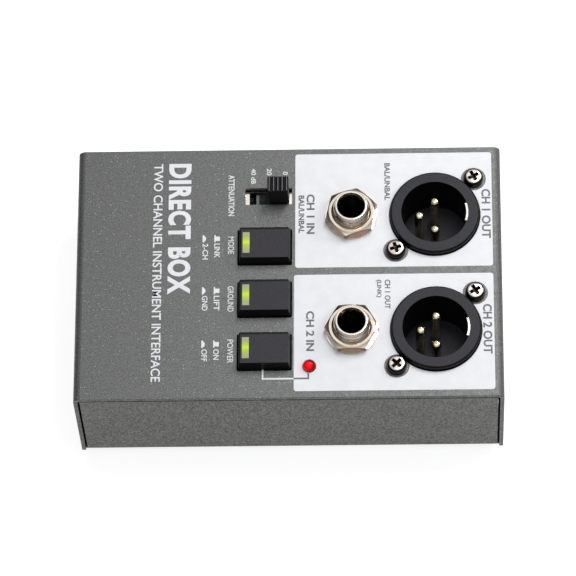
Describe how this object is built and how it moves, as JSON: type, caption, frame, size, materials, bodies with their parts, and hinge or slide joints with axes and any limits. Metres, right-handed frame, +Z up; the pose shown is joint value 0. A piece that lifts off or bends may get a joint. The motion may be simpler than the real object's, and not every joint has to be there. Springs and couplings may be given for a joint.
{
  "type": "direct injection box",
  "caption": "Flat steel direct injection box with jack inputs, three-pin outputs, push buttons, a slide attenuator and a power lamp on its panel.",
  "frame": {"origin": "middle of the case in plan, on the plane that the feet stand on", "axes": "+X from the battery end to the output connectors, +Y from the front wall to the back, +Z up"},
  "size_m": [0.105, 0.0676, 0.0407],
  "materials": {
    "grey_paint": "dark grey powder coat with fine metallic flecks",
    "white_print": "screen-printed white, satin",
    "grey_print": "screen-printed dark grey, satin",
    "plated_screw": "zinc plated",
    "nickel_screw": "nickel plated",
    "nickel": "bright nickel plate",
    "nickel_nut": "nickel plate",
    "gold_contact": "gold flash, polished tips",
    "tinned_metal": "tinned",
    "black_moulding": "fine moulded texture",
    "black_button": "satin moulded",
    "black_knob": "satin moulded",
    "green_window": "translucent light pipe",
    "red_lens": "tinted clear epoxy",
    "black_rubber": "matt",
    "battery_wrap": "printed sleeve with a copper band",
    "red_vinyl": "flexible vinyl",
    "black_vinyl": "flexible vinyl",
    "board_laminate": "solder mask over glass laminate",
    "chip_epoxy": "moulded epoxy",
    "capacitor_sleeve": "shrunk sleeve",
    "capacitor_box": "cast box",
    "resistor_body": "lacquer with colour rings",
    "wafer_phenolic": "moulded",
    "white_nylon": "moulded nylon"
  },
  "bodies": {
    "case": {"top_cover": "grey_paint", "base_shell": "grey_paint", "casing_screws": "plated_screw", "rubber_feet": "black_rubber", "battery_box": "black_moulding", "battery": "battery_wrap", "battery_terminals": "nickel", "battery_snap_connector": "black_vinyl", "red_battery_lead": "red_vinyl", "black_battery_lead": "black_vinyl", "main_board": "board_laminate", "op_amp_chips": "chip_epoxy", "chip_legs": "tinned_metal", "electrolytic_capacitors": "capacitor_sleeve", "film_capacitors": "capacitor_box", "resistors": "resistor_body", "attenuation_frame": "nickel", "attenuation_base": "wafer_phenolic", "attenuation_contacts": "tinned_metal", "attenuation_riser_board": "board_laminate", "attenuation_riser_pins": "tinned_metal", "power_lamp_lens": "red_lens", "power_lamp_leads": "tinned_metal", "power_lamp_spacer": "white_nylon", "switch_terminals": "tinned_metal", "channel_1_output_housing": "black_moulding", "channel_1_output_pins": "gold_contact", "channel_1_output_shell_contact": "nickel", "channel_1_output_screws": "nickel_screw", "channel_1_input_housing": "black_moulding", "channel_1_input_bushing": "nickel", "channel_1_input_nut": "nickel_nut", "channel_1_input_washer": "nickel", "channel_1_input_contacts": "tinned_metal", "channel_2_output_housing": "black_moulding", "channel_2_output_pins": "gold_contact", "channel_2_output_shell_contact": "nickel", "channel_2_output_screws": "nickel_screw", "channel_2_input_housing": "black_moulding", "channel_2_input_bushing": "nickel", "channel_2_input_nut": "nickel_nut", "channel_2_input_washer": "nickel", "channel_2_input_contacts": "tinned_metal", "power_switch_body": "wafer_phenolic", "power_switch_spring": "tinned_metal", "ground_switch_body": "wafer_phenolic", "ground_switch_spring": "tinned_metal", "mode_switch_body": "wafer_phenolic", "mode_switch_spring": "tinned_metal"},
    "battery_door": {"battery_door": "black_moulding"},
    "attenuation_slider": {"attenuation_slider": "black_knob"},
    "power_button": {"power_button_cap": "black_button", "power_button_window": "green_window", "power_switch_plunger": "white_nylon"},
    "ground_button": {"ground_button_cap": "black_button", "ground_button_window": "green_window", "ground_switch_plunger": "white_nylon"},
    "mode_button": {"mode_button_cap": "black_button", "mode_button_window": "green_window", "mode_switch_plunger": "white_nylon"}
  },
  "joints": [
    {"name": "power_button_press", "type": "slide", "parent": "case", "child": "power_button", "axis": [0, 0, 1], "range_m": [-0.0025, 0], "stiffness_N_per_m": 600, "springref_m": 0.001, "deforming": ["power_switch_spring"]},
    {"name": "ground_button_press", "type": "slide", "parent": "case", "child": "ground_button", "axis": [0, 0, 1], "range_m": [-0.0025, 0], "stiffness_N_per_m": 600, "springref_m": 0.001, "deforming": ["ground_switch_spring"]},
    {"name": "mode_button_press", "type": "slide", "parent": "case", "child": "mode_button", "axis": [0, 0, 1], "range_m": [-0.0025, 0], "stiffness_N_per_m": 600, "springref_m": 0.001, "deforming": ["mode_switch_spring"]},
    {"name": "attenuation_slide", "type": "slide", "parent": "case", "child": "attenuation_slider", "axis": [1, 0, 0], "range_m": [-0.005, 0]},
    {"name": "battery_door_hinge", "type": "hinge", "parent": "case", "child": "battery_door", "pos_m": [-0.028, -0.0263, 0.00235], "axis": [-1, 0, 0], "range_deg": [0, 90]}
  ]
}
